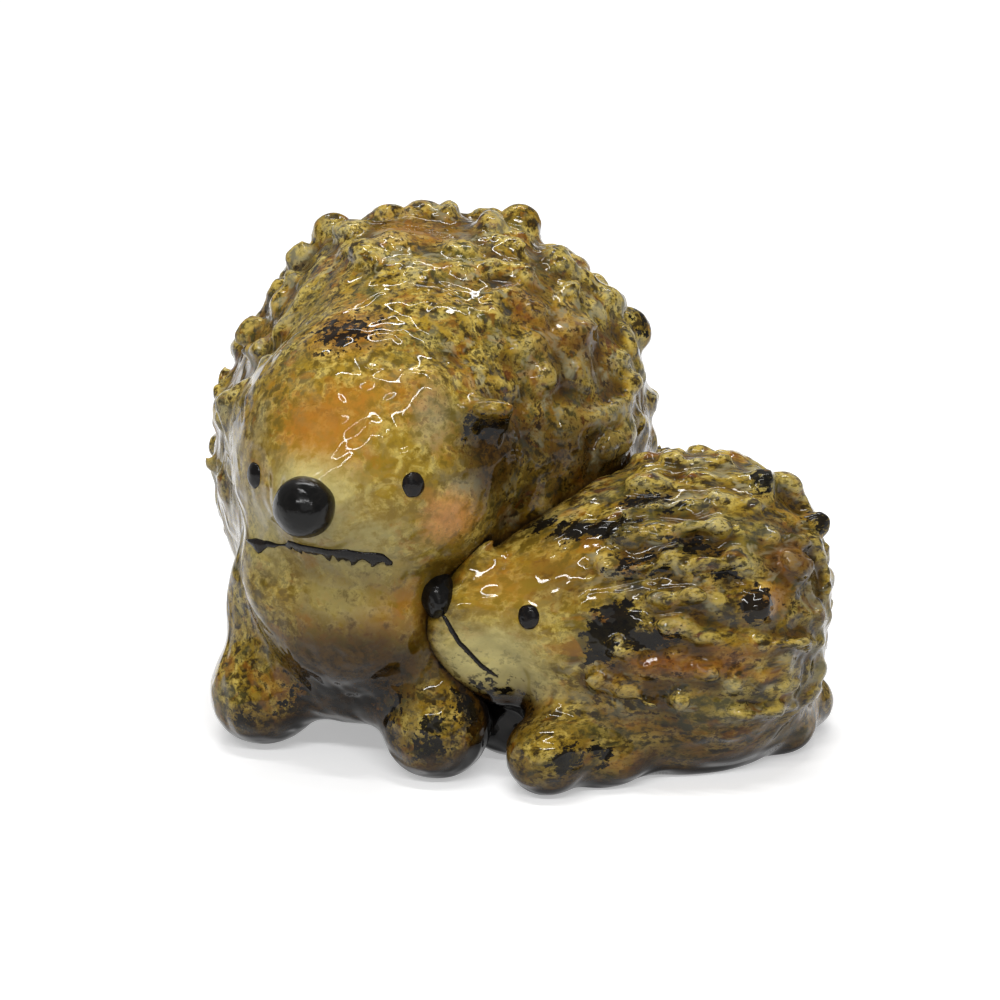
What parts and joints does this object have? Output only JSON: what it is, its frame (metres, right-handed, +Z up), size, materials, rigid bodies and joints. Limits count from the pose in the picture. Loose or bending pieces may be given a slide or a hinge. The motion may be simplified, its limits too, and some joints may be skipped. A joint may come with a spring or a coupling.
{
  "type": "hedgehog figurine",
  "caption": "Glossy glazed ceramic hedgehog figurine: a sitting mother with a domed, knobbly coat and her young leaning on her flank. A shelf ornament that stands on its flat foot.",
  "frame": {"origin": "on the table, under the middle of the ornament's box, on the mother's foot", "axes": "+X to the display's right, where the young lies, +Y to its back, +Z up; the display front faces -Y"},
  "size_m": [0.1198, 0.1078, 0.0952],
  "materials": {
    "body_glaze": "high gloss, mottled ochre and brown over cream",
    "coat_glaze": "high gloss, mottled olive and ochre with dark speckles",
    "paw_glaze": "high gloss, ochre with black mottling",
    "dark_glaze": "high gloss, near black"
  },
  "bodies": {
    "root": {"mother_body": "body_glaze", "mother_left_ear": "body_glaze", "mother_left_eye": "dark_glaze", "mother_left_foreleg": "paw_glaze", "mother_mouth": "dark_glaze", "mother_nose": "dark_glaze", "mother_right_ear": "body_glaze", "mother_right_eye": "dark_glaze", "mother_right_foreleg": "paw_glaze", "mother_spine_row_01": "coat_glaze", "mother_spine_row_02": "coat_glaze", "mother_spine_row_03": "coat_glaze", "mother_spine_row_04": "coat_glaze", "mother_spine_row_05": "coat_glaze", "mother_spine_row_06": "coat_glaze", "mother_spine_row_07": "coat_glaze", "mother_spine_row_08": "coat_glaze", "mother_spine_row_09": "coat_glaze", "mother_spine_row_10": "coat_glaze", "mother_spine_row_11": "coat_glaze", "mother_spine_row_12": "coat_glaze", "mother_spine_row_13": "coat_glaze", "mother_tall_spines": "coat_glaze", "young_body": "body_glaze", "young_left_eye": "dark_glaze", "young_left_paw": "paw_glaze", "young_mouth": "dark_glaze", "young_nose": "dark_glaze", "young_spine_row_01": "coat_glaze", "young_spine_row_02": "coat_glaze", "young_spine_row_03": "coat_glaze", "young_spine_row_04": "coat_glaze", "young_spine_row_05": "coat_glaze", "young_spine_row_06": "coat_glaze", "young_spine_row_07": "coat_glaze", "young_spine_row_08": "coat_glaze", "young_spine_row_09": "coat_glaze", "young_spine_row_10": "coat_glaze", "young_spine_row_11": "coat_glaze", "young_spine_row_12": "coat_glaze"}
  },
  "joints": []
}
